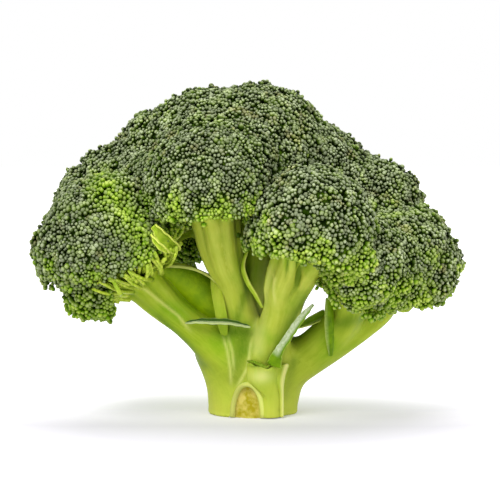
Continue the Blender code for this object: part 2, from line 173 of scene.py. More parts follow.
chance = random.Random(11)
skin = bmesh.new()
grain_stops = []  # stations along every limb, which give the skin its grain
stalk_line = [Vector((0, 0, height, STALK_HALF_WIDTH)) for height in STALK_HEIGHTS]
grow_limb(skin, stalk_line, sides=48, foot=stalk_side)
grain_stops.append(("stalk", rings(stalk_line)))
for name, way in [("leader", LEADER), ("rear", REAR_LIMB), *LIMBS.items()]:
    line = smooth_line(way)
    ribs = ((5, 0.05, len(name)), (9, 0.02, 2.0 * len(name)))
    if name in LIMBS:
        under, facing = under_crown(name)
        size = CROWNS[name][1]
        tip = under + facing * 1.5
        line = smooth_line([*way, (*tip, way[-1][3] * 1.15)])
    stops = rings(line)
    grain_stops.append((name, stops))
    if name not in LIMBS:
        grow_limb(skin, line, flutes=ribs)
        continue
    slim = [Vector((*stop.to_3d(), stop.w * (1 - 0.5 * (i / (len(line) - 1)) ** 3)))
            for i, stop in enumerate(line)]
    grow_limb(skin, slim, flutes=ribs)
    first = len(stops) // 3
    for k in range(BRANCHLETS):
        swing = 2 * math.pi * (k + chance.uniform(-0.2, 0.2)) / BRANCHLETS
        strand = []
        for j in range(first, len(stops), 2):
            middle, across, over, radius = stops[j]
            t = (j - first) / (len(stops) - 1 - first)
            side = across * math.cos(swing) + over * math.sin(swing)
            place = middle + side * radius * (0.46 + 0.36 * t ** 3)
            strand.append((*place, radius * 0.52 * (1 - t * t) + size * 0.15 * t * t))
        middle, across, over, radius = stops[-1]
        side = across * math.cos(swing) + over * math.sin(swing)
        strand.append((*(under + side * size * 0.50 + facing * size * 0.14), size * 0.12))
        strand.append((*(under + side * size * 0.66 + facing * size * 0.40), size * 0.08))
        branchlet = smooth_line(strand, steps=2)
        grow_limb(skin, branchlet, sides=10)
        grain_stops.append((name, rings(branchlet)))
bmesh.ops.scale(skin, vec=(MM, MM, MM), verts=skin.verts)


def new_piece(bm, name, coat=None):
    """Turns a bmesh into a linked object."""
    mesh = bpy.data.meshes.new(name)
    bm.to_mesh(mesh)
    bm.free()
    made = bpy.data.objects.new(name, mesh)
    bpy.context.scene.collection.objects.link(made)
    if coat:
        mesh.materials.append(coat)
    return made


def settle(piece):
    """Applies the piece's modifiers to its mesh."""
    graph = bpy.context.evaluated_depsgraph_get()
    done = bpy.data.meshes.new_from_object(piece.evaluated_get(graph))
    done.name = piece.name
    piece.modifiers.clear()
    old = piece.data
    piece.data = done
    bpy.data.meshes.remove(old)
    done.shade_smooth()


def give(mesh, name, values, kind="FLOAT", domain="POINT"):
    """Stores a number, vector or colour for each point as an attribute."""
    layer = mesh.attributes.new(name, kind, domain)
    key = {"FLOAT": "value", "FLOAT_VECTOR": "vector", "FLOAT_COLOR": "color"}[kind]
    layer.data.foreach_set(key, np.asarray(values, np.float32).ravel())


def points_of(mesh):
    found = np.empty(len(mesh.vertices) * 3, np.float32)
    mesh.vertices.foreach_get("co", found)
    return found.reshape(-1, 3)


def averaged_over(mesh, values, rounds):
    """Values of the points, each averaged with its neighbours a number of times."""
    ends = np.empty(len(mesh.edges) * 2, np.int32)
    mesh.edges.foreach_get("vertices", ends)
    a, b = ends.reshape(-1, 2).T
    count = len(mesh.vertices)
    near = np.maximum(np.bincount(a, minlength=count) + np.bincount(b, minlength=count), 1)
    for _ in range(rounds):
        values = (np.bincount(a, values[b], count) + np.bincount(b, values[a], count)) / near
    return values


def hollowness(mesh, rounds=4):
    """How far each point lies in a crease (above 0) or on a ridge (below 0)."""
    spots = points_of(mesh)
    wide = np.stack([averaged_over(mesh, column, rounds) for column in spots.T], 1)
    normals = np.empty(len(mesh.vertices) * 3, np.float32)
    mesh.vertex_normals.foreach_get("vector", normals)
    return ((wide - spots) * normals.reshape(-1, 3)).sum(1) / MM


stems = new_piece(skin, "stems")
fuse = stems.modifiers.new("fuse", "REMESH")
fuse.mode = "VOXEL"
fuse.voxel_size = SKIN_VOXEL * MM
soften = stems.modifiers.new("soften", "SMOOTH")
soften.factor = 0.5
soften.iterations = 5
settle(stems)
spots = points_of(stems.data)
worn = np.stack([averaged_over(stems.data, column, FORK_ROUNDS) for column in spots.T], 1)
share = np.clip((FORK_TOP * MM - spots[:, 2]) / (FORK_FADE * MM), 0, 1)
share *= np.clip(spots[:, 2] / (FOOT_FADE * MM), 0, 1)
spots = spots + (worn - spots) * share[:, None]
stems.data.vertices.foreach_set("co", spots.astype(np.float32).ravel())
stems.data.update()

tree = kdtree.KDTree(sum(len(stops) for name, stops in grain_stops))
stations = []
for name, stops in grain_stops:
    gone = 0.0
    for i, (middle, across, over, radius) in enumerate(stops):
        if i:
            gone += (middle - stops[i - 1][0]).length
        tree.insert(middle, len(stations))
        stations.append((middle, across, over, gone + stops[0][0].z, PALENESS_AND_PAINTED_LIGHT.get(name, 0.2)))
tree.balance()
spots = points_of(stems.data)
grain = np.empty((len(spots), 3), np.float32)
pale = np.empty(len(spots))
for i, spot in enumerate(spots / MM):
    middle, across, over, gone, pale[i] = stations[tree.find(spot)[1]]
    off = Vector(spot) - middle
    ahead = across.cross(over)
    grain[i] = off.dot(across), off.dot(over), (gone + off.dot(ahead)) * 0.11
give(stems.data, "grain", grain * MM, "FLOAT_VECTOR")
give(stems.data, "pale", averaged_over(stems.data, pale, 14))

# Ribs that run down the front: the edges of each limb where it joins the stalk, as x and z.
RIBS = (
    ((-11.7, 34), (-9.6, 26.9), (-8.4, 19.5), (-8, 11.3)),
    ((-9.8, 34), (-7.6, 26), (-6.8, 17)),
    ((0.5, 34), (-0.7, 27.7), (-1.6, 20.3), (-4, 15.6), (-6.9, 10.1)),
    ((23.6, 49.5), (17.7, 41.3), (9, 24.4)),
    ((5, 58), (3.9, 43.3), (1.5, 34)),
    ((6.8, 61), (8.6, 57.1), (8.2, 52), (9, 45)),
    ((-46.5, 54.6), (-41, 51.2), (-28.5, 40.7), (-22.8, 33.2)),
    ((-52, 48.8), (-45.2, 43.5), (-36.7, 38.6), (-30.5, 32.4)),
)
GROOVES = (((13, 66), (12.9, 60), (12.4, 55)), ((17.6, 66), (17.6, 58), (16.6, 50)))  # between branchlets, sunk and darkened with painted shade
LIT_FACE_HIGHLIGHT = ((5.6, 60), (4.2, 48), (2.9, 38), (2.2, 27))  # a painted highlight down the lit, waxy side of the front limb
RIB_WIDTH = 0.62
RIB_HEIGHT = 0.28
GREEN_AND_SHADE_BANDS = (  # deep green skin, darker still as painted shade where a limb turns from the lamps or meets the stalk: lines seen from the front, and their half widths
    (((8.5, 24), (11.5, 32), (16, 41), (20, 49)), 3.2),
    (((13, 8), (14.5, 16), (16, 22)), 2.0),
    (((-19, 20), (-26, 29), (-36, 39)), 2.2),
    (((-5.5, 40), (-2.5, 50), (-1.5, 58)), 1.7),
    (((33, 38), (42, 40)), 3.0),
)
FORK_SHADE_LINE = ((-9.8, 34), (-6, 34), (-2.5, 34), (-4.5, 24), (-6.5, 15))  # painted shade over the olive skin in the fork
SCAR_MIDDLE, SCAR_HALF_WIDTH, SCAR_HEIGHT = -1.9, 5.2, 12.4
SCAR_SINK = 0.9
FOOT_FLAT = 4  # below this height the marks push the skin sideways only, so that the cut stays flat


def line_gap(spots, line):
    """Distance of flat spots from a line of flat points."""
    best = np.full(len(spots), 99.0)
    for a, b in zip(np.array(line, float), np.array(line, float)[1:]):
        t = np.clip((spots - a) @ (b - a) / ((b - a) @ (b - a)), 0, 1)[:, None]
        best = np.minimum(best, np.linalg.norm(spots - a - t * (b - a), axis=1))
    return best


normals = np.empty(len(spots) * 3, np.float32)
stems.data.vertex_normals.foreach_get("vector", normals)
normals = normals.reshape(-1, 3)
seen = np.clip((-normals[:, 1] - 0.15) / 0.3, 0, 1) * (spots[:, 1] < -2 * MM)
flat_spots = spots[:, [0, 2]] / MM
rib = np.zeros(len(spots))
for line in RIBS:
    ends = [np.linalg.norm(flat_spots - end, axis=1) for end in (line[0], line[-1])]
    taper = np.clip(np.minimum(*ends) / 5.0, 0, 1)
    rib = np.maximum(rib, np.exp(-(line_gap(flat_spots, line) / RIB_WIDTH) ** 2) * taper)
rib *= seen
groove = np.zeros(len(spots))
for line in GROOVES:
    fading = np.clip(np.linalg.norm(flat_spots - line[-1], axis=1) / 7.0, 0, 1)
    groove = np.maximum(groove, np.exp(-(line_gap(flat_spots, line) / 0.9) ** 2) * fading)
groove *= seen
lit_face_highlight = np.exp(-(line_gap(flat_spots, LIT_FACE_HIGHLIGHT) / 2.4) ** 2) * seen
green_and_shade = np.zeros(len(spots))
for line, width in GREEN_AND_SHADE_BANDS:
    green_and_shade = np.maximum(green_and_shade, np.exp(-(line_gap(flat_spots, line) / width) ** 2))
fork_shade = np.exp(-(line_gap(flat_spots, FORK_SHADE_LINE) / 3.6) ** 2)
arch = ((flat_spots[:, 0] - SCAR_MIDDLE) / SCAR_HALF_WIDTH) ** 2 + (flat_spots[:, 1] / SCAR_HEIGHT) ** 2.4
scar = np.clip((1.12 - arch) / 0.25, 0, 1) * seen
shift = normals * ((rib * RIB_HEIGHT - groove - scar * SCAR_SINK) * MM)[:, None]
shift[:, 2] *= np.clip(spots[:, 2] / (FOOT_FLAT * MM), 0, 1)
spots = spots + shift
stems.data.vertices.foreach_set("co", spots.astype(np.float32).ravel())
stems.data.update()
# The rib attribute holds the pale ribs and a painted highlight down the lit side of the front limb.
give(stems.data, "rib", np.maximum(rib * 0.38, lit_face_highlight * 0.34))
# The deep attribute: the deep green bands, partly painted shade, and painted shade in the fork and in the
# grooves between branchlets.
deep = (green_and_shade * 0.75 + fork_shade * 0.9 + groove * 0.4).clip(0, 1)
give(stems.data, "deep", deep * (spots[:, 1] < 2 * MM))
give(stems.data, "scar", scar)
give(stems.data, "crease_shading", hollowness(stems.data))
lighten = stems.modifiers.new("lighten", "DECIMATE")
lighten.ratio = SKIN_KEPT
stems.data.transform(Matrix.Scale(1 / MM, 4))  # in millimetres, since in metres it stops early
settle(stems)
stems.data.transform(Matrix.Scale(MM, 4))


def tone(red, green, blue):
    """A linear colour from the usual 0 to 255 one."""
    return (*(((c / 255 + 0.055) / 1.055) ** 2.4 if c > 10 else c / 3294
              for c in (red, green, blue)), 1)


def add(tree, kind, inputs=(), **settings):
    """Adds a node. Its inputs are values or the outputs of other nodes."""
    made = tree.nodes.new("ShaderNode" + kind)
    for key, value in settings.items():
        setattr(made, key, value)
    for key, value in dict(inputs).items():
        if isinstance(value, bpy.types.NodeSocket):
            tree.links.new(value, made.inputs[key])
        else:
            made.inputs[key].default_value = value
    return made


def coat(name, roughness, **values):
    """A material with its tree and its shader."""
    made = bpy.data.materials.new(name)
    made.use_nodes = True
    shader = made.node_tree.nodes["Principled BSDF"]
    shader.inputs["Roughness"].default_value = roughness
    for key, value in values.items():
        shader.inputs[key.replace("_", " ")].default_value = value
    return made, made.node_tree, shader


def attribute(tree, name, output="Fac"):
    return add(tree, "Attribute", attribute_name=name).outputs[output]


def spread(tree, value, low, high, least=0.0, most=1.0):
    """Stretches a value from low..high to least..most, and holds it there."""
    return add(tree, "MapRange", {"Value": value, "From Min": low, "From Max": high,
                                  "To Min": least, "To Max": most}).outputs["Result"]


def blend(tree, share, under, over, mode="MIX"):
    """One colour over another. share is a value or a socket."""
    made = add(tree, "Mix", data_type="RGBA", blend_type=mode)
    for key, value in ((0, share), (6, under), (7, over)):
        if isinstance(value, bpy.types.NodeSocket):
            tree.links.new(value, made.inputs[key])
        else:
            made.inputs[key].default_value = value
    return made.outputs[2]


def times(tree, one, other):
    return add(tree, "Math", {0: one, 1: other}, operation="MULTIPLY").outputs[0]


def speckle(tree, vector, scale, detail=3.0, roughness=0.55):
    return add(tree, "TexNoise", {"Vector": vector, "Scale": scale, "Detail": detail,
                                  "Roughness": roughness}).outputs["Fac"]


waxy, recipe, shader = coat("waxy_skin", 0.42, Subsurface_Weight=0.05, Subsurface_Scale=0.003,
                           Specular_IOR_Level=0.07)
place = add(recipe, "TexCoord").outputs["Object"]
grain_at = attribute(recipe, "grain", "Vector")
height = add(recipe, "SeparateXYZ", {"Vector": place}).outputs["Z"]
streak = speckle(recipe, grain_at, 420.0, 5.0, 0.6)
fibre = speckle(recipe, grain_at, 1500.0, 4.0, 0.6)
mottle = speckle(recipe, place, 60.0, 3.0)
pale = attribute(recipe, "pale")
colour = blend(recipe, spread(recipe, streak, 0.25, 0.75), tone(110, 144, 0), tone(150, 176, 10))
over = blend(recipe, spread(recipe, streak, 0.25, 0.75), tone(152, 168, 36), tone(184, 194, 76))
colour = blend(recipe, pale, colour, over)
colour = blend(recipe, spread(recipe, mottle, 0.42, 0.66, 0.0, 0.7), colour, tone(112, 156, 0))
# deep: deep green skin and painted shade in the fork, the grooves and where limbs turn from the lamps.
colour = blend(recipe, attribute(recipe, "deep"), colour, tone(80, 118, 0))
colour = blend(recipe, spread(recipe, height, 0.026, 0.004, 0.0, 0.6), colour, tone(194, 196, 78))
colour = blend(recipe, spread(recipe, fibre, 0.35, 0.75, 0.0, 0.12), colour, tone(206, 212, 84))
# Painted shade darkens the creases, and a painted highlight lightens the ridges.
crease_shading = attribute(recipe, "crease_shading")
colour = blend(recipe, spread(recipe, crease_shading, 0.02, 0.25, 0.0, 0.6), colour, tone(66, 106, 0))
colour = blend(recipe, spread(recipe, crease_shading, -0.03, -0.22, 0.0, 0.4), colour, tone(204, 212, 92))
# Pale ribs, and a painted highlight on the lit side of the front limb.
colour = blend(recipe, attribute(recipe, "rib"), colour, tone(212, 214, 128))
scar = attribute(recipe, "scar")
blotch = speckle(recipe, place, 340.0, 3.0)
bloom = blend(recipe, spread(recipe, blotch, 0.38, 0.62), tone(156, 146, 24), tone(196, 182, 88))
colour = blend(recipe, scar, colour, bloom)
recipe.links.new(colour, shader.inputs["Base Color"])
recipe.links.new(spread(recipe, streak, 0.3, 0.7, 0.34, 0.50), shader.inputs["Roughness"])
relief = add(recipe, "Bump", {"Height": fibre, "Strength": 0.25, "Distance": 0.0004}).outputs["Normal"]
recipe.links.new(relief, shader.inputs["Normal"])
stems.data.materials.append(waxy)
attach(stems, "root")
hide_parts("stalk", "leader", *["branch_" + name for name in LIMBS])


# The leaf remnants. Trimming left thin strips of leaf standing between the limbs: rooted on a limb,
# dished along the midrib, torn at the tip, with a pale margin. The front one has a silvery bloom.
def blade(name, way, ways_across, coat, stands_for="", dish=0.15, thickness=0.7,
          columns=8, wave=0.0, ragged=0.0):
    """A strip of leaf along its midrib, as (x, y, z, width) stops with a direction across at each."""
    line = smooth_line(way)
    lay = smooth_line([(*Vector(side).normalized(), 0.0) for side in ways_across])
    sheet = bmesh.new()
    edge = sheet.verts.layers.float.new("edge")
    along = sheet.verts.layers.float.new("along")
    bmesh.ops.create_grid(sheet, x_segments=columns, y_segments=len(line) - 1, size=1.0)
    for vert in sheet.verts:
        share = vert.co.x
        row = round((vert.co.y + 1) / 2 * (len(line) - 1))
        ahead = (line[min(row + 1, len(line) - 1)] - line[max(row - 1, 0)]).to_3d().normalized()
        across = lay[row].to_3d()
        across = (across - ahead * across.dot(ahead)).normalized()
        up = across.cross(ahead)
        width = line[row].w * (1 + ragged * math.sin(row * 2.7 + share * 1.6))
        ripple = wave * math.sin(row * 1.9 + 2.0 * share) * share * share
        vert[edge] = share
        vert[along] = row / (len(line) - 1)
        vert.co = (line[row].to_3d() + across * share * width / 2
                   + up * (dish * width * (share * share - 0.3) + ripple))
    bmesh.ops.recalc_face_normals(sheet, faces=sheet.faces)
    bmesh.ops.solidify(sheet, geom=sheet.faces[:], thickness=thickness)
    bmesh.ops.scale(sheet, vec=(MM, MM, MM), verts=sheet.verts)
    piece = new_piece(sheet, name, coat)
    round_off = piece.modifiers.new("round", "SUBSURF")
    round_off.levels = 2
    round_off.render_levels = 2
    settle(piece)
    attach(piece, "root")
    if stands_for:
        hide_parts(stands_for)
    return piece


def leaf_coat(name, face, dark, margin, bloom, bloom_from, bloom_to, foot=0.0):
    """Leaf skin: pale at the margin, with a second colour on one side, a silvery bloom or on the sheath a
    painted shade, and green over the foot's share of its length.
    """
    made, tree, shader = coat(name, 0.5, Specular_IOR_Level=0.12)
    place = add(tree, "TexCoord").outputs["Object"]
    cloud = speckle(tree, place, 260.0, 4.0)
    vein = speckle(tree, place, 900.0, 5.0, 0.7)
    edge = attribute(tree, "edge")
    away = add(tree, "Math", {0: edge}, operation="ABSOLUTE").outputs[0]
    colour = blend(tree, spread(tree, cloud, 0.35, 0.65), face, dark)
    silver = spread(tree, edge, bloom_from, bloom_to)
    frost = times(tree, silver, spread(tree, vein, 0.30, 0.55, 0.35, 1.0))
    frost = times(tree, frost, spread(tree, attribute(tree, "along"), foot, foot + 0.12))
    colour = blend(tree, frost, colour, bloom)
    colour = blend(tree, spread(tree, away, 0.80, 0.98, 0.0, 0.8), colour, margin)
    tree.links.new(colour, shader.inputs["Base Color"])
    relief = add(tree, "Bump", {"Height": vein, "Strength": 0.5, "Distance": 0.0004})
    tree.links.new(relief.outputs["Normal"], shader.inputs["Normal"])
    return made


silver_leaf = leaf_coat("silver_leaf", tone(110, 146, 0), tone(84, 124, 0), tone(166, 190, 70),
                        tone(186, 198, 160), 0.7, 0.1, foot=0.2)
green_leaf = leaf_coat("green_leaf", tone(118, 154, 0), tone(84, 120, 0), tone(190, 206, 84),
                       tone(160, 180, 90), -0.2, -0.8)
pale_leaf = leaf_coat("pale_leaf", tone(60, 92, 30), tone(46, 76, 16), tone(176, 190, 120),
                      tone(184, 196, 150), -0.2, 0.25)
lime_leaf = leaf_coat("lime_leaf", tone(168, 190, 52), tone(140, 170, 28), tone(196, 206, 90),
                      tone(196, 206, 90), 0.4, 0.9)
# The sheath's skin: its second colour is a painted shade, deep green on its side under the rim.
shade_leaf = leaf_coat("shade_leaf", tone(146, 174, 2), tone(122, 156, 0), tone(206, 210, 84),
                       tone(78, 112, 0), -0.2, 0.85)

blade("silver_leaf", ((8.4, -20, 21.2, 5.6), (9.2, -21.5, 24.4, 4.6), (10.8, -23.5, 28.2, 3.2),
                      (13.8, -26.5, 33.2, 3.0), (17.2, -30, 38.8, 2.8), (20.4, -32, 43.2, 2.2),
                      (23.6, -33, 46.6, 0.6)),
      ((0.9, -0.2, -0.3),) * 2 + ((0.72, -0.4, -0.55),) * 5, silver_leaf, "leaf_front",
      dish=-0.14, wave=0.3, thickness=0.6, ragged=0.14)
blade("right_leaf", ((30.4, -14.5, 24.4, 0.6), (30.2, -17, 28.6, 2.2), (30.0, -19.5, 34, 3.4),
                     (29.6, -21.5, 40.5, 3.2), (29.2, -22, 48.0, 1.8)),
      ((1, 0.25, 0),) * 5, green_leaf, "leaf_right", dish=-0.22, wave=0.2)
blade("right_bract", ((28.6, -12, 40.4, 4.4), (25.2, -12.5, 38.8, 4.2), (21.4, -13, 37.0, 3.4),
                      (17.6, -13.5, 34.8, 0.6)),
      ((0.1, 0.35, 1),) * 4, green_leaf, "bract_right", dish=0.18)
blade("left_bract", ((-25.9, -20.5, 38.2, 0.6), (-20.7, -21.5, 39.0, 2.2), (-15.5, -21.5, 38.8, 3.0),
                     (-9.5, -21, 38.6, 2.9), (-4.5, -20.5, 37.6, 2.0), (-0.6, -20, 36.6, 0.6)),
      ((0, -0.86, -0.50),) * 6, pale_leaf, "bract_left", dish=0.16, wave=0.3)
blade("middle_bract", ((-1.8, -22, 66, 1.2), (-3.4, -23, 60, 1.9), (-1.6, -23.5, 54, 2.2),
                       (1.4, -22.5, 49, 2.0), (4.2, -21.5, 44.0, 0.7)),
      ((0.8, -1, 0.3),) * 5, lime_leaf, "bract_centre", dish=0.2, thickness=0.6)
blade("left_sheath", ((-38.6, -15.5, 59.0, 1.2), (-34.4, -14.5, 57.2, 6.5), (-28.2, -13.2, 54.2, 11.5),
                      (-21.0, -12.2, 49.6, 14.6), (-14.4, -11.2, 45.2, 16.4), (-8.5, -9, 42.5, 16.5)),
      ((0.6, 0, 0.8), (0.62, 0, 0.78), (0.60, 0, 0.80), (0.42, 0, 0.9), (0.25, 0, 0.97),
       (0.2, 0, 1)), shade_leaf, "bract_fork", dish=0.24, thickness=1.0, columns=10)


def wear_skin(piece, pale, rib, deep=0.0):
    """Gives a small piece of the stalk the marks that the stalk's skin reads."""
    spots = points_of(piece.data)
    give(piece.data, "grain", spots * (1.0, 1.0, 0.11), "FLOAT_VECTOR")
    for key, value in (("pale", pale), ("rib", rib), ("scar", 0.0), ("crease_shading", 0.0), ("deep", deep)):
        give(piece.data, key, np.full(len(spots), value) if np.isscalar(value) else value)


def rim_piece(bm, name, pale, rib, deep=0.0, face_out=True):
    """Finishes a rounded rim or lip made of the stalk's skin."""
    bmesh.ops.scale(bm, vec=(MM, MM, MM), verts=bm.verts)
    if face_out:
        bmesh.ops.recalc_face_normals(bm, faces=bm.faces)
    piece = new_piece(bm, name, waxy)
    piece.data.shade_smooth()
    wear_skin(piece, pale, rib, deep)
    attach(piece, "root")
    return piece


piece = blade("fork_flap", ((-15.0, -15.5, 54.5, 1.6), (-13.9, -17.4, 50.5, 3.6), (-12.6, -18.2, 45, 4.2),
                            (-11.4, -17.6, 38, 4.0), (-10.4, -13.5, 30, 1.0)),
              ((1, -0.1, 0.1),) * 5, waxy, dish=0.1, thickness=0.9)
wear_skin(piece, 0.75, 0.0)
rim = bmesh.new()
grow_limb(rim, smooth_line(((-40.5, -17, 60.0, 0.4), (-33.9, -17, 59.6, 0.62), (-26.1, -17, 59.2, 0.66),
                            (-20.3, -17, 57.6, 0.6), (-14.8, -17, 54.2, 0.5),
                            (-12.4, -17, 49.5, 0.3))), sides=10)
rim_piece(rim, "sheath_rim", 0.9, 0.5)
blade("curled_flap", ((-37.2, -39.8, 77.5, 2.0), (-34.8, -40.0, 75.0, 4.2), (-32.0, -38.6, 71.8, 5.2),
                      (-29.4, -35.6, 68.6, 4.0), (-28.6, -32.5, 66.8, 1.0)),
      ((0.45, -0.55, 0.7),) * 5, lime_leaf, dish=-0.55, thickness=0.7, wave=0.5)
blade("inner_flap", ((-38.2, -42.0, 74.6, 0.8), (-36.2, -42.4, 71.8, 2.6), (-33.6, -41.0, 69.2, 3.0),
                     (-31.4, -38.0, 67.0, 0.8)),
      ((0.55, -0.45, 0.7),) * 4, lime_leaf, dish=-0.45, thickness=0.7, wave=0.5)


# The foot of the stalk, at the front: the clasping base of a cut leaf with its torn top edge, and the
# arched scar beside it, where the whole leaf stalk was cut away, with its raised pale rim.
def foot_plate():
    """The leaf base: a plate grown out of the stalk's side, with a pale rib down its right edge."""
    plate = bmesh.new()
    columns, rows = 26, 18
    bmesh.ops.create_grid(plate, x_segments=columns, y_segments=rows, size=1.0)
    edge = plate.verts.layers.float.new("edge")
    for vert in plate.verts:
        across, up = (vert.co.x + 1) / 2, (vert.co.y + 1) / 2
        low = 1.0 - min(1.0, max(0.0, up * 20.0 - 7.0) / 7.0)
        start = -95 + 19 * low * low * (3 - 2 * low)
        angle = math.radians(start + (-50 - start) * across)
        top = 21.2 + 0.8 * math.sin(across * 9.0 + 0.8) + 0.4 * math.sin(across * 23.0)
        lift = 0.5 + 1.3 * math.sin(math.pi * min(1.0, across * 1.15)) ** 0.5
        lift += (1.2 * math.exp(-((across - 0.86) / 0.06) ** 2)
                 - 0.5 * math.exp(-((across - 0.74) / 0.06) ** 2))
        lift += 1.1 * max(0.0, up - 0.8) * 5 * across
        fade = min(1.0, across / 0.16) * min(1.0, (1 - across) / 0.05)
        vert[edge] = 1.0 if 0.81 < across < 0.91 else 0.0
        height = 0.3 + (top - 0.3) * up
        side = stalk_side(angle, height)
        out = Vector((side.x, side.y, 0)).normalized()
        vert.co = side + out * (lift * (0.25 + 0.75 * fade) - 0.6 * (1 - fade))
    bmesh.ops.recalc_face_normals(plate, faces=plate.faces)
    bmesh.ops.solidify(plate, geom=plate.faces[:], thickness=0.8)
    bmesh.ops.scale(plate, vec=(MM, MM, MM), verts=plate.verts)
    return plate


piece = new_piece(foot_plate(), "leaf_foot", waxy)
round_off = piece.modifiers.new("round", "SUBSURF")
round_off.levels = 1
round_off.render_levels = 1
settle(piece)
marks = np.empty(len(piece.data.vertices), np.float32)
piece.data.attributes["edge"].data.foreach_get("value", marks)
spots = points_of(piece.data) / MM
worn = np.exp(-((spots[:, 0] - 3.6) / 4.0) ** 2 - ((spots[:, 2] - 17.0) / 2.6) ** 2)
curl = np.exp(-((spots[:, 0] - 1.5) / 3.2) ** 2) * np.clip((spots[:, 2] - 20.2) / 0.5, 0, 1)
bruise = np.exp(-((spots[:, 0] - 10.6) / 1.0) ** 2 - ((spots[:, 2] - 3.4) / 1.0) ** 2)
wear_skin(piece, 0.7, np.maximum(marks * 0.95, worn * 0.7), np.maximum(curl, bruise * 0.8))
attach(piece, "root")
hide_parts("leaf_base")

lip = bmesh.new()
grow_limb(lip, smooth_line(((-1.8, -17.4, 22.7, 0.3), (0.6, -18.8, 22.5, 0.6), (3.0, -19.5, 21.5, 0.75),
                            (5.4, -19.6, 20.7, 0.6), (7.2, -19.2, 21.6, 0.3))), sides=10)
rim_piece(lip, "leaf_lip", 0.0, 0.0, 1.0)

rim = bmesh.new()
line = []
for step in range(25):
    swing = math.pi * (1 - step / 24)
    x = SCAR_MIDDLE + (SCAR_HALF_WIDTH + 0.9) * math.cos(swing)
    z = 0.35 + (SCAR_HEIGHT + 0.7) * math.sin(swing) ** 0.83
    angle = -math.acos(max(-1.0, min(1.0, x / STALK_HALF_WIDTH)))
    side = stalk_side(angle, z)
    out = Vector((side.x, side.y, 0)).normalized()
    line.append(Vector((*(side + out * -0.05), 1.0)))
grow_limb(rim, line, sides=10)
bmesh.ops.bisect_plane(rim, geom=rim.verts[:] + rim.edges[:] + rim.faces[:], plane_co=(0, 0, 0.05),
                       plane_no=(0, 0, -1), clear_outer=True, dist=0.001)
bmesh.ops.holes_fill(rim, edges=[e for e in rim.edges if e.is_boundary])
piece = rim_piece(rim, "scar_rim", 0.9, 0.45, face_out=False)
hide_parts("leaf_scar")


# The crowns. Each is a dome of small round flower buds, packed side by side over low swellings, with
# four sepals closed at the tip of each bud. Under the buds lies a mass of short stalks, painted near black as
# the shade deep between the buds, lime on its underside.
BUD_GAP = 1.10  # least distance between the seats of two buds, before they are pushed apart
BUD_ROOM = 1.49  # the distance they are pushed to
BUD_RADIUS = 0.93
CLUSTERING = 0.08  # how far each bud is drawn to the middle of its cluster
BUD_SINK = 0.2  # the buds' seats lie this far inside the crown's outside
FINENESS = {"front": 1.08, "left": 1.06, "right": 1.0, "lower_right": 1.0, "centre": 1.0}
OTHER_FINENESS = 0.94
LEAN_OUT = 0.35  # how far a bud's way leans from its swelling's to the whole crown's
WAY_SCATTER = 0.20
HEIGHT_SCATTER = 0.36
SIZE_SWELL = 0.22
LUMPS = 15
LOBES = {  # an extra ball that hangs below a crown's hem, and where its inner side ends (x, least or most)
    "left": ((-59, -24, 52.5), 13.0, -99.0, -53.6),
    "front": ((36, -41, 65.5), 12.5, -99.0, 99.0),
    "back_left": ((-27.5, 21, 64.5), 8.5, -99.0, 99.0),
    "right": ((66, -14, 56.5), 13.0, 56.0, 99.0),
}
SHOULDERS = {  # one more swelling on the side of a crown
    "top_left": (-37.2, 5, 104, 14.2),
    "upper_left": (-62.5, 8, 82, 14.6),
    "upper_right": (52, 4, 83, 14.5),
}
LOWEST = {"left": 52.5, "right": 45.0}  # no bud of these crowns is lower, outside a lobe
ARCHES = {"left": ((-0.40, -0.16, 0.90), 0.08)}  # one more cut under a crown: the way up, and how low


def above_arch(name, spots):
    """How far each spot lies above the crown's second cut."""
    if name not in ARCHES:
        return np.full(len(spots), 99.0)
    centre, radius = CROWNS[name][:2]
    way, low = ARCHES[name]
    return (np.asarray(spots) - centre) @ np.array(Vector(way).normalized()) + radius * low


def swellings(name):
    """The balls whose joined outside is one crown."""
    centre, radius, facing = CROWNS[name][:3]
    turn = Vector(facing).normalized().to_track_quat("Z", "Y")
    chance = random.Random(sum(ord(c) * (i + 3) for i, c in enumerate(name)))
    found = []
    for i in range(LUMPS):
        tilt = math.acos(1.0 - 1.42 * (i + 0.5) / LUMPS) + chance.uniform(-0.07, 0.07)
        around = i * math.pi * (3.0 - math.sqrt(5.0)) + chance.uniform(-0.2, 0.2)
        way = Vector((math.sin(tilt) * math.cos(around), math.sin(tilt) * math.sin(around),
                      math.cos(tilt)))
        way.rotate(turn)
        size = radius * chance.uniform(0.50, 0.56)
        found.append((*(Vector(centre) + way * (radius * chance.uniform(0.995, 1.04) - size)), size))
    found.append((*centre, radius * 0.93))
    if name in LOBES:
        found.append((*LOBES[name][0], LOBES[name][1]))
    if name in SHOULDERS:
        found.append(SHOULDERS[name])
    return np.array(found)


BALLS = {name: swellings(name) for name in CROWNS}
